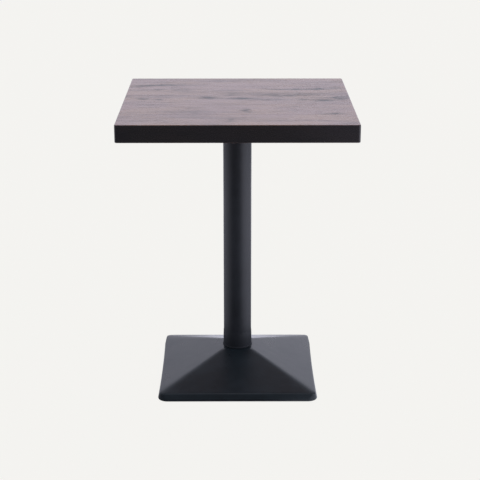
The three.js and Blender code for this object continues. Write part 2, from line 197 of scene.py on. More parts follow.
def stand_for(piece, node, material, crease=35):
    """piece takes the CAD node's place and body, and the node is hidden. It is smooth up to the
    crease angle.
    """
    mesh = piece.data
    mesh.materials.clear()
    mesh.materials.append(material)
    mesh.polygons.foreach_set("use_smooth", [True] * len(mesh.polygons))
    mesh.set_sharp_from_angle(angle=math.radians(crease))
    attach(piece, BODY_OF[node])
    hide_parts(node)
    return piece


def rounded_cad_node(node, material, width):
    """A CAD node that stays as it is, with its edges eased."""
    piece = frame["nodes"][node]
    piece.data.materials.clear()
    piece.data.materials.append(material)
    piece.modifiers.new("weld", "WELD").merge_threshold = 0.01 * MM
    bevel = piece.modifiers.new("eased_edges", "BEVEL")
    bevel.width, bevel.segments = width, 2
    bevel.limit_method, bevel.angle_limit = "ANGLE", math.radians(35)
    piece.data.polygons.foreach_set("use_smooth", [True] * len(piece.data.polygons))


def loft(rings, joined=False):
    """Quads through rings of equally many points.

    The last ring joins the first, or both ends are capped flat.
    """
    count = len(rings[0])
    faces = []
    for ring in range(len(rings) if joined else len(rings) - 1):
        low, high = ring * count, (ring + 1) % len(rings) * count
        for k in range(count):
            following = (k + 1) % count
            faces.append((low + k, low + following, high + following, high + k))
    if not joined:
        last = (len(rings) - 1) * count
        faces += [tuple(range(count)), tuple(range(last, last + count))]
    return np.concatenate(rings), faces


def circle(radius, z, count=96, centre=(0, 0)):
    turn = np.linspace(0, 2 * math.pi, count, endpoint=False)
    x = centre[0] + radius * np.cos(turn)
    y = centre[1] + radius * np.sin(turn)
    return np.stack([x, y, np.full(count, z)], 1)


def circles_like(ring, profile):
    """Circles round Z at the (radius, z) pairs, their points in the directions of the ring's."""
    direction = ring[:, :2] / np.linalg.norm(ring[:, :2], axis=1)[:, None]
    return [np.column_stack([direction * r, np.full(len(ring), z)]) for r, z in profile]


def soften(corners, radius, closed=True, steps=4):
    """The outline through the corners, each rounded off. An open outline keeps its two ends."""
    corners = [np.array(c, float) for c in corners]
    outline = []
    for i, corner in enumerate(corners):
        if not closed and i in (0, len(corners) - 1):
            outline.append(corner)
            continue
        before, after = corners[i - 1] - corner, corners[(i + 1) % len(corners)] - corner
        reach = min(radius, 0.45 * np.linalg.norm(before), 0.45 * np.linalg.norm(after))
        start = corner + before / np.linalg.norm(before) * reach
        end = corner + after / np.linalg.norm(after) * reach
        for s in np.linspace(0, 1, steps + 1):
            outline.append((1 - s) ** 2 * start + 2 * s * (1 - s) * corner + s**2 * end)
    return outline


def turned(name, outline, joined=True, count=96, centre=(0, 0)):
    """A solid of revolution from (radius, z) points."""
    return make_object(name, *loft([circle(r, z, count, centre) for r, z in outline], joined))


def combined(base, operation, others):
    """base joined with the others or cut by them; they are used up."""
    for other in others:
        boolean = base.modifiers.new("join", "BOOLEAN")
        boolean.operation, boolean.solver, boolean.object = operation, "EXACT", other
    bpy.context.view_layer.update()
    evaluated = base.evaluated_get(bpy.context.evaluated_depsgraph_get())
    result = bpy.data.meshes.new_from_object(evaluated)
    base.modifiers.clear()
    base.data = result
    for other in others:
        bpy.data.objects.remove(other)
    return base


# ---- Materials -----------------------------------------------------------------------------------

class Shader:
    """A node tree under construction. Most calls add a node and give back its output socket."""

    def __init__(self, owner):
        """owner is the material or the world that the tree belongs to."""
        owner.use_nodes = True
        self.owner = owner
        self.tree = owner.node_tree
        self.tree.nodes.clear()
        coordinates = self.add("ShaderNodeTexCoord").outputs
        self.place = coordinates["Object"]
        self.normal = coordinates["Normal"]
        self.direction = coordinates["Generated"]

    def add(self, kind, inputs=None, **settings):
        node = self.tree.nodes.new(kind)
        for key, value in settings.items():
            setattr(node, key, value)
        for key, value in (inputs or {}).items():
            if isinstance(value, bpy.types.NodeSocket):
                self.tree.links.new(value, node.inputs[key])
            else:
                node.inputs[key].default_value = value
        return node

    def calc(self, operation, *values):
        inputs = dict(enumerate(values))
        return self.add("ShaderNodeMath", inputs, operation=operation).outputs[0]

    def total(self, values):
        result = values[0]
        for value in values[1:]:
            result = self.calc("ADD", result, value)
        return result

    def swing(self, value, amount, middle=0.0):
        """middle, moved up or down as value, a noise, is over or under a half."""
        return self.calc("MULTIPLY_ADD", self.calc("SUBTRACT", value, 0.5), amount, middle)

    def parts(self, vector):
        return self.add("ShaderNodeSeparateXYZ", {0: vector}).outputs

    def vector(self, x, y, z):
        return self.add("ShaderNodeCombineXYZ", {0: x, 1: y, 2: z}).outputs[0]

    def vector_calc(self, operation, *vectors):
        inputs = dict(enumerate(vectors))
        return self.add("ShaderNodeVectorMath", inputs, operation=operation).outputs[0]

    def number_calc(self, operation, *vectors):
        """The single number that LENGTH or DOT_PRODUCT makes of its vectors."""
        inputs = dict(enumerate(vectors))
        return self.add("ShaderNodeVectorMath", inputs, operation=operation).outputs["Value"]

    def stretched(self, vector, sx, sy, sz):
        return self.vector_calc("MULTIPLY", vector, (sx, sy, sz))

    def noise(self, vector, scale=1.0, detail=2.0, rough=0.5, output=0):
        inputs = {"Vector": vector, "Scale": scale, "Detail": detail, "Roughness": rough}
        return self.add("ShaderNodeTexNoise", inputs).outputs[output]

    def noises(self, vector, detail, rough=0.5):
        """Three noises that have nothing to do with one another."""
        return self.parts(self.noise(vector, detail=detail, rough=rough, output=1))

    def ramp(self, value, low, high, to_low=0.0, to_high=1.0):
        """value taken smoothly from low..high to to_low..to_high, and held outside that range."""
        inputs = {0: value, 1: low, 2: high, 3: to_low, 4: to_high}
        return self.add("ShaderNodeMapRange", inputs, interpolation_type="SMOOTHSTEP").outputs[0]

    def mix(self, share, first, second):
        inputs = {0: share, 6: first, 7: second}
        return self.add("ShaderNodeMix", inputs, data_type="RGBA").outputs[2]

    def show(self, indirectly, to_camera, kind):
        """Ends the tree with one look for what the camera sees and another for all other light."""
        to_the_camera = self.add("ShaderNodeLightPath").outputs["Is Camera Ray"]
        inputs = {0: to_the_camera, 1: indirectly.outputs[0], 2: to_camera.outputs[0]}
        chosen = self.add("ShaderNodeMixShader", inputs)
        self.add(kind, {"Surface": chosen.outputs[0]})

    def finish(self, colour, roughness, height_mm, metallic=0.0, specular=0.5):
        """Ends a material's tree with one surface and gives back the material."""
        bump = self.add("ShaderNodeBump", {"Height": height_mm, "Distance": MM, "Strength": 1.0})
        inputs = {
            "Base Color": colour,
            "Roughness": roughness,
            "Metallic": metallic,
            "Specular IOR Level": specular,
            "Normal": bump.outputs[0],
        }
        surface = self.add("ShaderNodeBsdfPrincipled", inputs)
        self.add("ShaderNodeOutputMaterial", {"Surface": surface.outputs[0]})
        return self.owner


def material_shader(name):
    return Shader(bpy.data.materials.new(name))


def rgb(red, green, blue):
    return (red, green, blue, 1.0)


# Knots and dark flames of the grain on the top, in millimetres:
# (x, y, half length, half width, strength)
KNOTS = [
    (25, -130, 13, 20, 1.0),
    (5, -130, 22, 14, 0.6),
    (-20, 60, 16, 11, 0.8),
    (15, 15, 28, 12, 0.9),
    (-15, -240, 12, 20, 0.5),
    (-75, 25, 20, 18, 0.7),
]
FLAMES = [
    (-260, 185, 22, 10, 0.8),
    (-200, 200, 60, 9, 0.9),
    (-90, 205, 60, 6, 0.4),
    (-240, 130, 26, 12, 0.9),
    (-160, 130, 50, 32, 0.35),
    (-210, 55, 80, 9, 0.45),
    (-250, 15, 18, 18, 0.7),
    (-210, 0, 14, 14, 0.6),
    (-130, -5, 34, 10, 0.5),
    (-10, 100, 30, 34, 0.3),
    (80, 145, 18, 9, 0.9),
    (110, 140, 20, 9, 0.9),
    (165, 140, 32, 8, 0.8),
    (220, 145, 14, 12, 1.0),
    (270, 165, 24, 12, 0.5),
    (140, 60, 130, 24, 0.65),
    (270, 20, 22, 18, 0.9),
    (150, 5, 100, 12, 0.5),
    (235, -10, 30, 10, 0.8),
    (-115, -120, 50, 22, 0.4),
    (210, -160, 14, 12, 0.6),
    (245, -170, 24, 14, 0.8),
    (250, -125, 8, 14, 0.4),
]

# Where the heart of each stave's tree lies, in millimetres from the stave's low Y and from its
# underside, and how much darker than the others the stave is
STAVE_WOOD = [
    (30, -60, 0.02),
    (85, -35, 0.00),
    (55, -85, 0.06),
    (100, -50, -0.02),
    (40, -30, 0.02),
]
RING_WIDTH = 5.2 * MM
KNOT_BULGE = 14 * MM
STAIN_LIGHT_BROWN = rgb(0.398, 0.214, 0.136)
STAIN_LIGHT_ROSE = rgb(0.352, 0.190, 0.158)
STAIN_DARK_UMBER = rgb(0.030, 0.018, 0.020)
STAIN_DARK_SLATE = rgb(0.018, 0.026, 0.032)
STAIN_PORE = rgb(0.012, 0.009, 0.009)
# Colours of the edges: darker than the top, and a paler one that paints light on the +X end, where
# more light falls
EDGE_DARK_COLOUR = rgb(0.0088, 0.0098, 0.0112)
EDGE_PAINTED_LIGHT_COLOUR = rgb(0.0230, 0.0218, 0.0246)


def spot_strength(s, x, y, feature):
    """The strength of a knot or flame in the middle of its oval, falling away smoothly."""
    middle_x, middle_y, length, width = (v * MM for v in feature[:4])
    across = s.calc("POWER", s.calc("DIVIDE", s.calc("SUBTRACT", y, middle_y), width), 2.0)
    along = s.calc("POWER", s.calc("DIVIDE", s.calc("SUBTRACT", x, middle_x), length), 2.0)
    fading = s.calc("EXPONENT", s.calc("MULTIPLY", s.calc("ADD", along, across), -1.0))
    return s.calc("MULTIPLY", fading, feature[4])


def wood():
    """Open-grained hardwood stained dark brown, under a thin satin lacquer that misses the pores.

    Its noises are drawn out along the grain: their scales are repeats a metre along X, Y and Z.
    """
    s = material_shader("stained_wood")

    def own(name):
        attribute = s.add("ShaderNodeAttribute", attribute_type="OBJECT", attribute_name=name)
        return attribute.outputs["Fac"]

    seed = own("seed")
    shifted = s.vector_calc("ADD", s.place, s.vector(seed, seed, 0.0))
    wander = s.noises(s.stretched(shifted, 5.0, 9.0, 9.0), detail=3.0)
    x, y, z = s.parts(s.place)
    y_wandered = s.swing(wander[1], 0.044, y)
    z_wandered = s.swing(wander[2], 0.024, z)

    # The knots and flames have ragged edges, and the flames broken middles
    ragged = s.noises(s.stretched(shifted, 30.0, 60.0, 60.0), detail=3.0, rough=0.6)
    spot_x = s.swing(ragged[0], 0.050, x)
    spot_y = s.swing(ragged[1], 0.020, y)
    broken = s.ramp(ragged[2], 0.36, 0.58, 0.45, 1.25)
    knot = s.total([spot_strength(s, spot_x, spot_y, k) for k in KNOTS])
    whole_flame = s.total([spot_strength(s, spot_x, spot_y, f) for f in FLAMES])
    flame = s.calc("MULTIPLY", whole_flame, broken)

    # Growth rings round each stave's own heart, which bulge round the knots
    across = s.calc("SUBTRACT", y_wandered, own("heart_y"))
    from_heart = s.vector(0.0, across, s.calc("SUBTRACT", z_wandered, own("heart_z")))
    bulged = s.calc("MULTIPLY_ADD", knot, KNOT_BULGE, s.number_calc("LENGTH", from_heart))
    year = s.calc("FRACT", s.calc("DIVIDE", bulged, RING_WIDTH))
    late = s.calc("POWER", year, 2.5)

    grain_place = s.vector(x, y_wandered, z_wandered)
    streak = s.noise(s.stretched(grain_place, 6.0, 42.0, 42.0), detail=4.0, rough=0.6)
    mottle = s.noise(s.stretched(grain_place, 45.0, 120.0, 120.0), detail=3.0, rough=0.6)
    fibre = s.noise(s.stretched(grain_place, 24.0, 620.0, 620.0), detail=3.0, rough=0.6)
    pore_noise = s.noise(s.stretched(grain_place, 42.0, 1300.0, 1300.0), detail=1.0)
    early_pores = s.calc("MULTIPLY_ADD", late, 0.7, 0.3)
    pore = s.calc("MULTIPLY", s.ramp(pore_noise, 0.56, 0.68), early_pores)

    shade = s.total(
        [
            s.calc("MULTIPLY", late, 0.12),
            s.ramp(streak, 0.32, 0.70, -0.34, 0.34),
            s.swing(mottle, 0.90),
            s.swing(fibre, 0.20),
            flame,
            s.calc("MULTIPLY", knot, 0.95),
            own("tone"),
        ]
    )
    shade = s.ramp(shade, -0.30, 1.25)

    # The light stain drifts between brown and rose, and the dark one between umber and slate
    cast = s.noise(s.stretched(shifted, 6.0, 14.0, 14.0), detail=2.0)
    light = s.mix(s.ramp(cast, 0.35, 0.65), STAIN_LIGHT_BROWN, STAIN_LIGHT_ROSE)
    dark = s.mix(s.ramp(cast, 0.42, 0.58), STAIN_DARK_UMBER, STAIN_DARK_SLATE)
    colour = s.mix(shade, light, dark)
    colour = s.mix(s.calc("MULTIPLY", pore, 0.6), colour, STAIN_PORE)

    # The edges are darker than the top, and paler towards +X: a painted lighter end, where more
    # light falls
    facing_up = s.calc("ABSOLUTE", s.parts(s.normal)[2])
    edge = s.ramp(facing_up, 0.55, 0.95, 1.0, 0.0)
    edge_colour_painted_light = s.mix(s.ramp(x, 0.05, 0.31), EDGE_DARK_COLOUR, EDGE_PAINTED_LIGHT_COLOUR)
    colour = s.mix(s.calc("MULTIPLY", edge, 0.97), colour, edge_colour_painted_light)

    roughness = s.total([s.calc("MULTIPLY", shade, 0.08), s.calc("MULTIPLY", pore, 0.20), 0.26])
    gloss = s.ramp(s.calc("MULTIPLY_ADD", pore, 0.5, shade), 0.0, 1.1, 0.62, 0.36)
    height_mm = s.total(
        [
            s.calc("MULTIPLY", pore, -0.03),
            s.calc("MULTIPLY", late, 0.008),
            s.calc("MULTIPLY", fibre, 0.01),
            s.calc("MULTIPLY", knot, 0.03),
        ]
    )
    return s.finish(colour, roughness, height_mm, specular=gloss)


CLEAN_GLOSS, DUSTY_GLOSS = 0.49, 0.20
DUSTY_ROUGHNESS = 0.24  # on top of the clean coat's
CHIP_COLOUR = rgb(0.30, 0.29, 0.28)
CHIP_HEIGHTS = (24 * MM, 34 * MM)  # chips show below the first, and none show above the second


def coated(name, colour, grain, peel, roughness, chips=0.0, dusty=None):
    """Black powder coat: a fine bead over a slow orange peel, each (repeats a metre, millimetres).

    chips is the share of its patches that have a pale chip, low down. The coat gets dusty and matt
    going down from the higher of the two dusty heights to the lower.
    """
    s = material_shader(name)
    upward = s.parts(s.place)[2]
    clean = s.ramp(upward, *dusty) if dusty else 1.0
    bead = s.noise(s.place, grain[0], detail=2.0, rough=0.6)
    orange_peel = s.noise(s.place, peel[0], detail=2.0)
    mottle = s.noise(s.place, 14.0, detail=4.0, rough=0.6)
    darker, lighter = (rgb(*(c * share for c in colour)) for share in (0.82, 1.2))
    tone = s.mix(s.ramp(mottle, 0.3, 0.7), darker, lighter)
    patches = s.add("ShaderNodeTexVoronoi", {"Vector": s.place, "Scale": 55.0}).outputs
    chosen = s.ramp(s.parts(patches["Color"])[0], 1.0 - chips, 1.0 - chips + 0.004)
    low = s.ramp(upward, *CHIP_HEIGHTS, 1.0, 0.0)
    speck = s.ramp(patches["Distance"], 0.035, 0.06, 1.0, 0.0)
    chip = s.calc("MULTIPLY", s.calc("MULTIPLY", chosen, low), speck)
    tone = s.mix(s.calc("MULTIPLY", chip, 0.8), tone, CHIP_COLOUR)
    dust = s.calc("MULTIPLY_ADD", clean, -DUSTY_ROUGHNESS, DUSTY_ROUGHNESS)
    rough = s.calc("ADD", dust, s.swing(mottle, 0.16, roughness))
    gloss = s.calc("MULTIPLY_ADD", clean, CLEAN_GLOSS - DUSTY_GLOSS, DUSTY_GLOSS)
    bumps = (s.calc("MULTIPLY", bead, grain[1]), s.calc("MULTIPLY", orange_peel, peel[1]))
    return s.finish(tone, rough, s.calc("ADD", *bumps), specular=gloss)


def zinc():
    """Bright zinc plate: drawn lines, cloudy roughness and a faint blue and straw cast."""
    s = material_shader("zinc_plated_steel")
    drawn = s.noise(s.stretched(s.place, 900.0, 900.0, 60.0), detail=2.0)
    cloud = s.noise(s.place, 90.0, detail=3.0)
    colour = s.mix(s.ramp(cloud, 0.35, 0.65), rgb(0.60, 0.62, 0.66), rgb(0.70, 0.68, 0.62))
    rough = s.ramp(s.calc("MULTIPLY_ADD", drawn, 0.4, cloud), 0.3, 1.1, 0.22, 0.46)
    return s.finish(colour, rough, s.calc("MULTIPLY", drawn, 0.01), metallic=1.0)


def nylon():
    """Moulded black nylon, matt, scuffed paler where it meets the floor."""
    s = material_shader("black_nylon")
    grain = s.noise(s.place, 1800.0, detail=2.0)
    scuff = s.noise(s.stretched(s.place, 500.0, 120.0, 300.0), detail=3.0)
    low = s.ramp(s.parts(s.place)[2], 0.0, 1.5 * MM, 1.0, 0.0)
    worn = s.calc("MULTIPLY", low, s.ramp(scuff, 0.45, 0.65))
    colour = s.mix(worn, rgb(0.016, 0.016, 0.017), rgb(0.075, 0.073, 0.070))
    rough = s.calc("MULTIPLY_ADD", scuff, 0.2, 0.45)
    return s.finish(colour, rough, s.calc("MULTIPLY", grain, 0.02))


# ---- Top -----------------------------------------------------------------------------------------

top_low = Vector(map(min, *(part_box(stave)[0] for stave in STAVES)))
top_high = Vector(map(max, *(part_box(stave)[1] for stave in STAVES)))


def inset_steps(span):
    """Distances in from a rounded edge: close together on the rounding, then even over the rest."""
    rounding = TOP_CORNER_RADIUS * (1 - np.cos(np.linspace(0, math.pi / 2, 11)))
    steps = max(2, round((span - TOP_CORNER_RADIUS) / TOP_MESH_STEP))
    rest = np.linspace(TOP_CORNER_RADIUS, span, steps + 1)[1:]
    return np.concatenate([rounding, rest])


def edge_depth(x, y):
    """How far a point of the top's plan lies inside its round-cornered outline."""
    core = top_high.x - TOP_CORNER_RADIUS
    dx, dy = max(abs(x) - core, 0.0), max(abs(y) - core, 0.0)
    if dx and dy:
        return TOP_CORNER_RADIUS - math.hypot(dx, dy)
    return top_high.x - max(abs(x), abs(y))


def face_drop(x, y, seams):
    """How far the top's face lies below its flat at a point: arris, seam chamfers and sanding."""
    depth = max(edge_depth(x, y), 0.0)
    drop = 0.0
    if depth < TOP_ARRIS_RADIUS:
        drop = TOP_ARRIS_RADIUS - math.sqrt(TOP_ARRIS_RADIUS**2 - (TOP_ARRIS_RADIUS - depth) ** 2)
    for seam in seams:
        drop = max(drop, SEAM_CHAMFER - abs(y - seam))
    if depth > 2 * TOP_ARRIS_RADIUS:
        along, across = SANDING_WAVES
        drop += SANDING_RELIEF * (0.5 + 0.5 * noise.noise((x * along, y * across, 0.3)))
    return drop


def stave_mesh(name, y_low, y_high):
    """One stave as closed cross-sections along X. Outer staves follow the top's round corners."""
    seams = [y for y in (y_low, y_high) if abs(y) < top_high.y - MM]
    half = top_high.x
    ends = inset_steps(half)
    stations = np.concatenate([ends - half, (half - ends[:-1])[::-1]])

    def outline_y(x, side):
        if side in seams:
            return side
        core = half - TOP_CORNER_RADIUS
        over = min(max(abs(x) - core, 0.0), TOP_CORNER_RADIUS)
        return math.copysign(core + math.sqrt(TOP_CORNER_RADIUS**2 - over**2), side)

    def spacing(side):
        half_width = (y_high - y_low) / 2
        if side not in seams:
            return inset_steps(half_width)
        rest = np.linspace(SEAM_MESH_STEP, half_width, 9)
        return np.array([0, SEAM_CHAMFER / 2, SEAM_CHAMFER, 3 * SEAM_CHAMFER, *rest])

    low_steps, high_steps = spacing(y_low), spacing(y_high)
    rings = []
    for x in stations:
        low, high = outline_y(x, y_low), outline_y(x, y_high)
        ys = np.concatenate([low + low_steps, (high - high_steps[:-1])[::-1]])
        ys[len(low_steps) - 1] = (y_low + y_high) / 2
        drops = [face_drop(x, y, seams) for y in ys]
        upper = [(x, y, top_high.z - d) for y, d in zip(ys, drops)]
        lower = [(x, y, top_low.z + d) for y, d in zip(ys, drops)]
        high_side = [(x, ys[-1], z) for z in np.linspace(upper[-1][2], lower[-1][2], 8)[1:-1]]
        low_side = [(x, ys[0], z) for z in np.linspace(lower[0][2], upper[0][2], 8)[1:-1]]
        rings.append(np.array(upper + high_side + lower[::-1] + low_side))
    return make_object(name, *loft(rings))


def make_top(material):
    for index, (node, (heart_y, heart_z, tone)) in enumerate(zip(STAVES, STAVE_WOOD), start=1):
        low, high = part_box(node)
        piece = stave_mesh(f"stave_{index}", low.y, high.y)
        stand_for(piece, node, material, crease=30)
        piece["seed"] = 3.7 * index
        piece["heart_y"] = low.y + heart_y * MM
        piece["heart_z"] = low.z + heart_z * MM
        piece["tone"] = tone
        normals = piece.modifiers.new("even_normals", "WEIGHTED_NORMAL")
        normals.keep_sharp = True


# ---- Base ----------------------------------------------------------------------------------------

base_low, base_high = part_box("base_casting")
tube_low, tube_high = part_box("column_tube")
foot_z = base_low.z
rim_z = foot_z + BASE_RIM_HEIGHT
platform_z = tube_low.z - SEAT_GAP
rim_half = base_high.x - BASE_FLARE
slope_run = rim_half - PLATFORM_HALF
slope = (platform_z - rim_z) / slope_run
roof_drop = BASE_WALL * math.hypot(1, slope)
quarter_turn = np.linspace(0, math.pi / 2, 6)


def square_ring(half, radius, bow, side=26, corner=10):
    """Points round a round-cornered square whose sides bow in, counted the same for every size."""
    ring = []
    inset = half - radius
    for quarter in range(4):
        turn = quarter * math.pi / 2
        cos, sin = round(math.cos(turn)), round(math.sin(turn))
        ends = np.linspace(-1, 1, side, endpoint=False)
        plain = [(half - bow * (1 - end**2), inset * end) for end in ends]
        angles = np.linspace(0, math.pi / 2, corner, endpoint=False)
        plain += [(inset + radius * math.cos(a), inset + radius * math.sin(a)) for a in angles]
        ring += [(x * cos - y * sin, x * sin + y * cos) for x, y in plain]
    return np.array(ring)


def pyramid(plan):
    """Heights of the sloping faces: flat, eased into the platform, with hips rounded in plan."""
    a, b = np.abs(plan).max(1), np.abs(plan).min(1)
    hip = HIP_RADIUS + HIP_GROWTH * a / rim_half
    gap = np.minimum(a - b, hip)
    rounded = hip + (a + b - np.sqrt(2 * hip**2 - gap**2)) / 2
    level = np.where(a - b < hip, rounded, a)
    rise = rim_z + slope * (rim_half - level)
    ease = np.clip(0.5 + (platform_z - rise) / (2 * PLATFORM_BLEND), 0, 1)
    return rise * ease + platform_z * (1 - ease) - PLATFORM_BLEND * ease * (1 - ease)


def base_plan(inset, radius=None):
    """A cross-section in plan, set in from the rim. Its corners open out down the lip."""
    down_the_lip = max(-inset, 0) / BASE_FLARE
    tight = max(RIM_CORNER_RADIUS - max(inset, 0), HIP_RADIUS)
    radius = radius or tight + (FOOT_CORNER_RADIUS - RIM_CORNER_RADIUS) * down_the_lip
    return square_ring(rim_half - inset, radius, BASE_BOW * radius / FOOT_CORNER_RADIUS)


def level_ring(inset, z, radius=None):
    """A cross-section at the height z, or at one height for each of its points."""
    plan = base_plan(inset, radius)
    return np.column_stack([plan, np.broadcast_to(z, len(plan))])


def sloped_ring(inset, drop=0.0, radius=None):
    """A cross-section that lies at drop below the sloping faces."""
    plan = base_plan(inset, radius)
    return np.column_stack([plan, pyramid(plan) - drop])


def outer_rings():
    """From the platform's edge down the sloping faces, round the rim and down to the lip's foot."""
    lean = BASE_FLARE / BASE_RIM_HEIGHT
    inside_edge, outside_edge, face_step = 3 * MM, 4 * MM, 3 * MM
    across_edge = np.linspace(slope_run + inside_edge, slope_run - outside_edge, 8)
    face_top, face_foot = slope_run - outside_edge - face_step, RIM_ROUNDING + face_step
    rings = [sloped_ring(inset) for inset in (*across_edge, *np.linspace(face_top, face_foot, 34))]
    for s in np.linspace(0, 1, 9):
        inset = (1 - s) ** 2 * RIM_ROUNDING - s**2 * lean * RIM_ROUNDING
        drop = slope * inset - (1 - s) ** 2 * slope * RIM_ROUNDING + s**2 * RIM_ROUNDING
        rings.append(sloped_ring(inset, drop))
    lip_top = rings[-1][:, 2]
    lip_foot = foot_z + BASE_EDGE_RADIUS
    for share in (0.33, 0.66):
        inset = -lean * RIM_ROUNDING - (BASE_FLARE - lean * RIM_ROUNDING) * share
        rings.append(level_ring(inset, lip_top + (lip_foot - lip_top) * share))
    for turn in quarter_turn:
        inset = BASE_EDGE_RADIUS * (1 - math.cos(turn)) - BASE_FLARE
        rings.append(level_ring(inset, foot_z + BASE_EDGE_RADIUS * (1 - math.sin(turn))))
    return rings


def inner_rings():
    """From the lip's foot up its inner side and under the roof to the centre boss."""
    wall = BASE_WALL - BASE_FLARE
    rings = []
    for turn in quarter_turn:
        inset = wall - BASE_EDGE_RADIUS * (1 - math.sin(turn))
        z = foot_z + BASE_EDGE_RADIUS * (1 - math.cos(turn))
        rings.append(level_ring(inset, z, FOOT_CORNER_RADIUS - BASE_WALL))
    for further_in, below_roof, radius in ROOF_FILLET:
        rings.append(sloped_ring(wall + further_in, roof_drop + below_roof, radius))
    for inset in np.linspace(wall + ROOF_START, slope_run, 18):
        rings.append(sloped_ring(inset, roof_drop))
    return rings


def centre_profile():
    """(radius, z) down the centre boss, up the rod's bore and down the spigot to the platform."""
    boss_z, ceiling, spigot_z = platform_z - CENTRE_BOSS_DROP, platform_z - roof_drop, base_high.z
    boss, bore, spigot = CENTRE_BOSS_RADIUS, ROD_BORE_RADIUS, tube_high.x - SPIGOT_INSET
    fillet, edge = ROUNDING_MIDDLE * BOSS_FILLET, ROUNDING_MIDDLE * BOSS_EDGE_RADIUS
    return [
        (boss + BOSS_FILLET, ceiling),
        (boss + fillet, ceiling - fillet),
        (boss, ceiling - BOSS_FILLET),
        (boss, boss_z + BOSS_EDGE_RADIUS),
        (boss - edge, boss_z + edge),
        (boss - BOSS_EDGE_RADIUS, boss_z),
        (bore + ROD_BORE_CHAMFER, boss_z),
        (bore, boss_z + ROD_BORE_CHAMFER),
        (bore, spigot_z - ROD_BORE_CHAMFER),
        (bore + ROD_BORE_CHAMFER, spigot_z),
        (spigot - SPIGOT_CHAMFER, spigot_z),
        (spigot, spigot_z - SPIGOT_CHAMFER),
        (spigot, platform_z),
    ]


def base_mesh():
    """The casting's shell with its centre boss and spigot, as one lofted ring of cross-sections."""
    shell = outer_rings() + inner_rings()
    middle = circles_like(shell[-1], centre_profile())
    for ring in shell:
        for point in ring:
            wave = noise.noise(Vector(point) * CAST_WAVES)
            wave += 0.5 * noise.noise(Vector(point) * CAST_FINE_WAVES)
            growth = min(1.0, max(0.0, (point[2] - foot_z) / FLAT_FOOT_HEIGHT))
            point[2] += CAST_WAVINESS * wave * growth
    return make_object("base", *loft(shell + middle, joined=True))


def rib_mesh(turn, reach):
    """An upright plate along a diagonal of the base, from the centre boss to a glide boss."""
    inner = CENTRE_BOSS_RADIUS - RIB_OVERLAP
    outer = reach - GLIDE_BOSS_RADIUS + RIB_OVERLAP
    outline = [
        (inner, platform_z - CENTRE_BOSS_DROP),
        (outer, foot_z + GLIDE_BOSS_RISE),
        (outer, rim_z),
        (inner, platform_z - BASE_WALL / 2),
    ]
    direction = np.array([math.cos(turn), math.sin(turn)])
    sideways = np.array([-direction[1], direction[0]]) * RIB_THICKNESS / 2
    rings = []
    for side in (-1, 1):
        rings.append(np.array([(*(direction * u + sideways * side), z) for u, z in outline]))
    return make_object("rib", *loft(rings))


def make_base(material):
    piece = base_mesh()
    boss_foot = foot_z + GLIDE_BOSS_RISE
    extras, bores = [], []
    for index in range(1, 5):
        low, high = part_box(f"glide_pad_{index}")
        x, y = (low.x + high.x) / 2, (low.y + high.y) / 2
        extras.append(rib_mesh(math.atan2(y, x), math.hypot(x, y)))
        far_side = max(abs(x), abs(y)) + GLIDE_BOSS_RADIUS
        boss_top = rim_z + slope * (rim_half - far_side) - BASE_WALL / 2
        corners = [(0, boss_foot), (GLIDE_BOSS_RADIUS, boss_foot), (GLIDE_BOSS_RADIUS, boss_top)]
        boss = soften(corners, BOSS_EDGE_RADIUS, False)
        extras.append(turned("boss", boss[1:], False, 48, (x, y)))
        bore = [(GLIDE_BORE_RADIUS, boss_foot + rise) for rise in (-MM, GLIDE_BORE_DEPTH)]
        bores.append(turned("bore", bore, False, 32, (x, y)))
    combined(piece, "UNION", extras)
    combined(piece, "DIFFERENCE", bores)
    stand_for(piece, "base_casting", material, crease=30)


# ---- Column --------------------------------------------------------------------------------------

def make_tube(material):
    inside, outside = tube_high.x - TUBE_WALL, tube_high.x
    low, high = tube_low.z, tube_high.z
    corners = [(inside, low), (outside, low), (outside, high), (inside, high)]
    piece = turned("column", soften(corners, TUBE_EDGE_RADIUS), count=160)
    stand_for(piece, "column_tube", material)


def make_collar(material):
    low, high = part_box("column_collar")
    bore, foot = tube_high.x + COLLAR_CLEARANCE, high.x
    lip = bore + COLLAR_LIP
    flare, taper = low.z + COLLAR_FLARE_HEIGHT, low.z + COLLAR_TAPER_START
    corners = [
        (foot, low.z + COLLAR_FOOT_EDGE),
        (COLLAR_RADIUS, low.z + 3 * COLLAR_FOOT_EDGE),
        (COLLAR_RADIUS, flare),
    ]
    skirt = soften(corners, COLLAR_FLARE_HEIGHT, False, 8)
    chamfer_in, chamfer_down = COLLAR_LIP_CHAMFER
    neck = []
    for s in np.linspace(0, 1, 12):
        radius = lip + (COLLAR_RADIUS - lip) * 0.5 * (1 + math.cos(math.pi * s))
        neck.append((radius, taper + (high.z - chamfer_down - taper) * s))
    sole = [(foot - COLLAR_SOLE_CHAMFER, low.z), (foot, low.z + COLLAR_SOLE_CHAMFER)]
    head = [(lip - chamfer_in, high.z), (bore, high.z)]
    piece = turned("collar", [(bore, low.z), *sole, *skirt, *neck, *head], count=160)
    stand_for(piece, "column_collar", material, crease=50)


# ---- Fasteners and glides ------------------------------------------------------------------------

def threaded(radius, depth, pitch, z_low, z_high, centre=(0, 0), count=32, rows=8):
    """Rings that wind a right-hand thread round Z, fading out over half a turn at each end."""
    rings = []
    for z in np.linspace(z_low, z_high, max(2, round((z_high - z_low) / pitch * rows)) + 1):
        ring = circle(1.0, z, count)
        turn = np.arctan2(ring[:, 1], ring[:, 0]) / (2 * math.pi)
        groove = np.abs(2 * np.mod(z / pitch - turn, 1.0) - 1)
        fade = min(1.0, (z - z_low) / (pitch / 2), (z_high - z) / (pitch / 2))
        reach = radius - depth * np.clip((groove - 0.1) / 0.8, 0, 1) * fade
        ring[:, :2] = ring[:, :2] * reach[:, None] + centre
        rings.append(ring)
    return rings


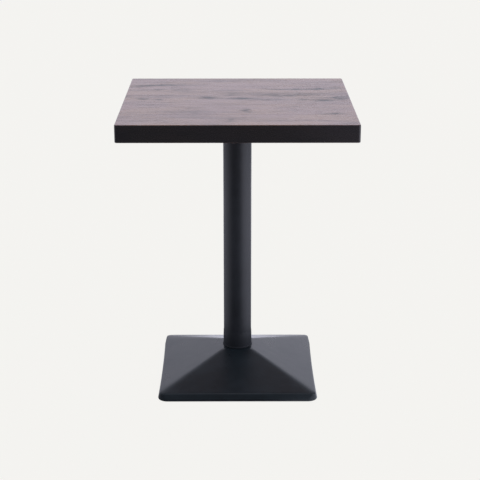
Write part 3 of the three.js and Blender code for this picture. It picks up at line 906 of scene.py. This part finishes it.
def make_tie_rod(material):
    low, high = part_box("tie_rod")
    radius = high.x
    thread = (radius, ROD_THREAD_DEPTH, ROD_PITCH)
    plain_low, plain_high = low.z + ROD_THREAD_LENGTH, high.z - ROD_THREAD_LENGTH
    rings = [circle(radius - ROD_TIP, low.z, 32), circle(radius, low.z + ROD_TIP, 32)]
    rings += threaded(*thread, low.z + 1.2 * ROD_TIP, plain_low)
    rings += [circle(radius, z, 32) for z in np.linspace(plain_low + MM, plain_high - MM, 12)]
    rings += threaded(*thread, plain_high, high.z - 1.2 * ROD_TIP)
    rings += [circle(radius, high.z - ROD_TIP, 32), circle(radius - ROD_TIP, high.z, 32)]
    stand_for(make_object("tie_rod_threaded", *loft(rings)), "tie_rod", material, crease=60)


def hexagon(across_flats, z_low, z_high, centre, count=96):
    """Rings of a hexagon with straight flats, its corners cut back in a cone at both ends."""
    flat = across_flats / 2
    corner = across_flats / math.sqrt(3)
    turn = np.linspace(0, 2 * math.pi, count, endpoint=False)
    from_flat = np.mod(turn + math.pi / 6, math.pi / 3) - math.pi / 6
    reach = flat / np.cos(from_flat)

    def ring(limit, z):
        return circle(np.minimum(reach, limit), z, count, centre)

    drop = (corner - flat) / 2
    steps = np.linspace(0, 1, 4)
    rings = [ring(flat + (corner - flat) * s, z_low + drop * s) for s in steps]
    return rings + [ring(flat + (corner - flat) * s, z_high - drop * s) for s in steps[::-1]]


def make_nut(node, material):
    low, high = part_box(node)
    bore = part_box("tie_rod")[1].x + ROD_CLEARANCE
    rings = hexagon(NUT_ACROSS_FLATS, low.z, high.z, (0, 0))
    mouth = bore + NUT_BORE_CHAMFER
    profile = [
        (mouth, high.z),
        (bore, high.z - NUT_BORE_CHAMFER),
        (bore, low.z + NUT_BORE_CHAMFER),
        (mouth, low.z),
    ]
    rings += circles_like(rings[0], profile)
    piece = make_object(f"{node}_hexagon", *loft(rings, joined=True))
    stand_for(piece, node, material, crease=25)


def make_washer(node, material):
    low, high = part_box(node)
    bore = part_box("tie_rod")[1].x + ROD_CLEARANCE
    corners = [(bore, low.z), (high.x, low.z), (high.x, high.z), (bore, high.z)]
    stand_for(turned(f"{node}_ring", soften(corners, WASHER_EDGE_RADIUS)), node, material)


def make_wood_screw(node, material):
    """Pan head with a cross recess, and a thread that tapers to the point."""
    low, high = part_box(node)
    centre = ((low.x + high.x) / 2, (low.y + high.y) / 2)
    head = (high.x - low.x) / 2
    seat = low.z + SCREW_HEAD_HEIGHT
    profile = []
    for t in np.linspace(0.5, math.pi / 2, 8):
        crown = SCREW_CROWN_HEIGHT * (1 - math.cos(t)) ** 1.3
        profile.append((head * math.sin(t), low.z + crown))
    profile += [(head, seat - SCREW_HEAD_EDGE), (head - SCREW_HEAD_EDGE, seat)]
    thread_low = seat + SCREW_NECK
    profile += [(SCREW_SHANK_RADIUS, seat), (SCREW_SHANK_RADIUS, thread_low)]
    rings = [circle(r, z, 48, centre) for r, z in profile]
    thread = (SCREW_SHANK_RADIUS, SCREW_THREAD_DEPTH, SCREW_PITCH)
    for ring in threaded(*thread, thread_low, high.z - 0.4 * MM, centre, 48):
        left = (high.z - ring[0][2]) / SCREW_POINT
        share = min(1.0, SCREW_TIP_SHARE + (1 - SCREW_TIP_SHARE) * left)
        ring[:, :2] = (ring[:, :2] - centre) * share + centre
        rings.append(ring)
    screw = make_object(node.replace("top_", "wood_"), *loft(rings))
    slots = []
    floor_z = low.z + SCREW_SLOT_DEPTH
    across, along = SCREW_SLOT_HALF_WIDTH, SCREW_SLOT_HALF_LENGTH
    for half_x, half_y in ((across, along), (along, across)):
        ends = []
        for share, z in ((1.0, low.z - MM), (SCREW_SLOT_FLOOR, floor_z)):
            x, y = half_x * share, half_y * share
            corners = [(-x, -y, z), (x, -y, z), (x, y, z), (-x, y, z)]
            ends.append(np.array(corners) + (*centre, 0))
        slots.append(make_object("slot", *loft(ends)))
    combined(screw, "DIFFERENCE", slots)
    stand_for(screw, node, material, crease=40)


def make_glide_stem(index, material):
    """M8 stem with a wrench hexagon and a flanged foot. Gives back its axis in plan."""
    node = f"glide_stem_{index}"
    low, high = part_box(node)
    centre = ((low.x + high.x) / 2, (low.y + high.y) / 2)
    hexagon_low, hexagon_high = low.z + STEM_HEXAGON_LOW, low.z + STEM_HEXAGON_HIGH
    foot = [
        (0, low.z),
        (STEM_FOOT_RADIUS, low.z),
        (STEM_FOOT_RADIUS, low.z + STEM_FOOT_TOP),
        (STEM_RADIUS, low.z + STEM_FOOT_TOP),
        (STEM_RADIUS, hexagon_low),
    ]
    rings = [circle(r, z, 96, centre) for r, z in soften(foot, STEM_FOOT_EDGE, False, 2)[1:]]
    rings += hexagon(STEM_ACROSS_FLATS, hexagon_low, hexagon_high, centre)
    for above in (0, STEM_PLAIN):
        rings.append(circle(STEM_RADIUS, hexagon_high + above, 96, centre))
    thread_low = hexagon_high + STEM_PLAIN + 0.2 * MM
    thread = (STEM_RADIUS, STEM_THREAD_DEPTH, STEM_PITCH)
    rings += threaded(*thread, thread_low, high.z - STEM_TIP, centre, 96)
    rings.append(circle(STEM_RADIUS - STEM_TIP, high.z, 96, centre))
    stand_for(make_object(f"stem_{index}", *loft(rings)), node, material, crease=40)
    return centre


def make_glide_pad(index, centre, material):
    """A crowned pad whose socket snaps over the stem's foot."""
    node = f"glide_pad_{index}"
    low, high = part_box(node)
    outer = high.x - centre[0]
    crown_low = low.z + PAD_CROWN_START
    crown = []
    for t in np.linspace(0, math.pi / 2, 8):
        radius = outer - PAD_CROWN_INSET * (1 - math.cos(t))
        crown.append((radius, crown_low + (high.z - low.z - PAD_CROWN_START) * math.sin(t)))
    lower = soften([(0, low.z), (outer, low.z), crown[0]], PAD_EDGE_RADIUS, False)[1:-1]
    socket = [
        (PAD_MOUTH_RADIUS + PAD_MOUTH_EDGE, high.z),
        (PAD_MOUTH_RADIUS, high.z - PAD_MOUTH_EDGE),
        (PAD_MOUTH_RADIUS, low.z + PAD_SOCKET_HIGH),
        (PAD_SOCKET_RADIUS, low.z + PAD_SOCKET_HIGH),
        (PAD_SOCKET_RADIUS, low.z + PAD_SOCKET_LOW),
    ]
    piece = turned(f"pad_{index}", [*lower, *crown, *socket], False, 72, centre)
    stand_for(piece, node, material)


# ---- Stage, light and camera ---------------------------------------------------------------------

def toward(s, direction, azimuth, spread, strength):
    """A soft patch of light round a compass direction, spread degrees to each side."""
    x, y = math.cos(math.radians(azimuth)), math.sin(math.radians(azimuth))
    along = s.number_calc("DOT_PRODUCT", direction, (x, y, 0.0))
    return s.ramp(along, math.cos(math.radians(spread)), 1.0, 0.0, strength)


def make_floor():
    """A wide pale floor, plain from above but dark under the base, and clear from below.

    The table sees a painted glow in its place: the studio's light on it, dimmer near the table as a
    painted shadow.
    """
    corners = [(x * FLOOR_HALF, y * FLOOR_HALF, 0) for x, y in ((-1, -1), (1, -1), (1, 1), (-1, 1))]
    floor = make_object("floor", corners, [(0, 1, 2, 3)])
    s = material_shader("pale_floor")

    # Distance out from the base's core, which the round corners of its foot are drawn about
    core = base_high.x - FOOT_CORNER_RADIUS
    past_core = []
    for v in s.parts(s.place)[:2]:
        past = s.calc("SUBTRACT", s.calc("ABSOLUTE", v), core)
        past_core.append(s.calc("MAXIMUM", past, 0.0))
    reach = s.number_calc("LENGTH", s.vector(*past_core, 0.0))
    edge = FOOT_CORNER_RADIUS - BASE_BOW
    inside, outside = FLOOR_CONTACT
    lit_share = s.ramp(reach, edge - inside, edge + outside, 1.0, FLOOR_SHADING)
    seen = s.add("ShaderNodeEmission", {"Color": BACKDROP_COLOUR, "Strength": 1.0})
    lit = s.add("ShaderNodeBsdfDiffuse", {"Color": BACKDROP_COLOUR})
    plain = s.add("ShaderNodeMixShader", {0: lit_share, 1: seen.outputs[0], 2: lit.outputs[0]})

    # The glow is dimmer near the table: a painted shadow of the table
    distance = s.number_calc("LENGTH", s.place)
    share = s.calc("MULTIPLY", s.ramp(distance, *FLOOR_GROWTH), s.ramp(distance, *FLOOR_FADE))
    direction = s.vector_calc("NORMALIZE", s.place)
    light = s.total([FLOOR_DIM] + [toward(s, direction, *patch) for patch in FLOOR_PATCHES])
    strength = s.calc("MULTIPLY", light, share)
    glow = s.add("ShaderNodeEmission", {"Color": STUDIO_COLOUR, "Strength": strength})

    from_below = s.add("ShaderNodeNewGeometry").outputs["Backfacing"]
    clear = s.add("ShaderNodeBsdfTransparent")
    inputs = {0: from_below, 1: plain.outputs[0], 2: clear.outputs[0]}
    s.show(glow, s.add("ShaderNodeMixShader", inputs), "ShaderNodeOutputMaterial")
    floor.data.materials.append(s.owner)


def make_world():
    """A studio: bright patches of wall behind, at the right and at the left, soft from above."""
    world = bpy.data.worlds.new("studio")
    bpy.context.scene.world = world
    s = Shader(world)
    above = s.ramp(s.parts(s.direction)[2], 0.25, 1.0, 0.0, WALL_ABOVE)
    light = s.total([WALL_DIM, above] + [toward(s, s.direction, *patch) for patch in WALL_PATCHES])
    studio = s.add("ShaderNodeBackground", {"Color": STUDIO_COLOUR, "Strength": light})
    seen = s.add("ShaderNodeBackground", {"Color": BACKDROP_COLOUR, "Strength": 1.0})
    s.show(studio, seen, "ShaderNodeOutputWorld")


def make_camera():
    data = bpy.data.cameras.new("camera")
    data.lens, data.sensor_width = CAMERA_LENS, CAMERA_SENSOR
    camera = bpy.data.objects.new("camera", data)
    camera.location = CAMERA_PLACE
    tilt, turn = math.radians(90 - CAMERA_DOWNWARD_TILT), math.radians(-CAMERA_TURN)
    camera.rotation_euler = (tilt, 0, turn)
    bpy.context.scene.collection.objects.link(camera)
    bpy.context.scene.camera = camera


bpy.context.scene.view_settings.view_transform = "Standard"
collar_low, collar_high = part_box("column_collar")
cast_coat = coated(
    "black_cast_iron",
    (0.0145, 0.0225, 0.0275),
    grain=(420.0, 0.025),
    peel=(60.0, 0.05),
    roughness=0.30,
    chips=0.06,
)
tube_coat = coated(
    "black_powder_coat",
    (0.020, 0.0235, 0.0285),
    grain=(1500.0, 0.02),
    peel=(260.0, 0.03),
    roughness=0.40,
    dusty=(collar_low.z - 5 * MM, collar_high.z + 35 * MM),
)
steel = zinc()
plastic = nylon()

make_top(wood())
make_base(cast_coat)
make_tube(tube_coat)
make_collar(tube_coat)
make_tie_rod(steel)
for nut in ("tie_rod_foot_nut", "tie_rod_top_nut"):
    make_nut(nut, steel)
for washer in ("tie_rod_foot_washer", "tie_rod_top_washer"):
    make_washer(washer, steel)
rounded_cad_node("tie_rod_lock_washer", steel, 0.3 * MM)
rounded_cad_node("top_spider", cast_coat, 1.0 * MM)
for index in range(1, 9):
    make_wood_screw(f"top_screw_{index}", steel)
for index in range(1, 5):
    axis = make_glide_stem(index, steel)
    make_glide_pad(index, axis, plastic)

make_floor()
make_world()
make_camera()
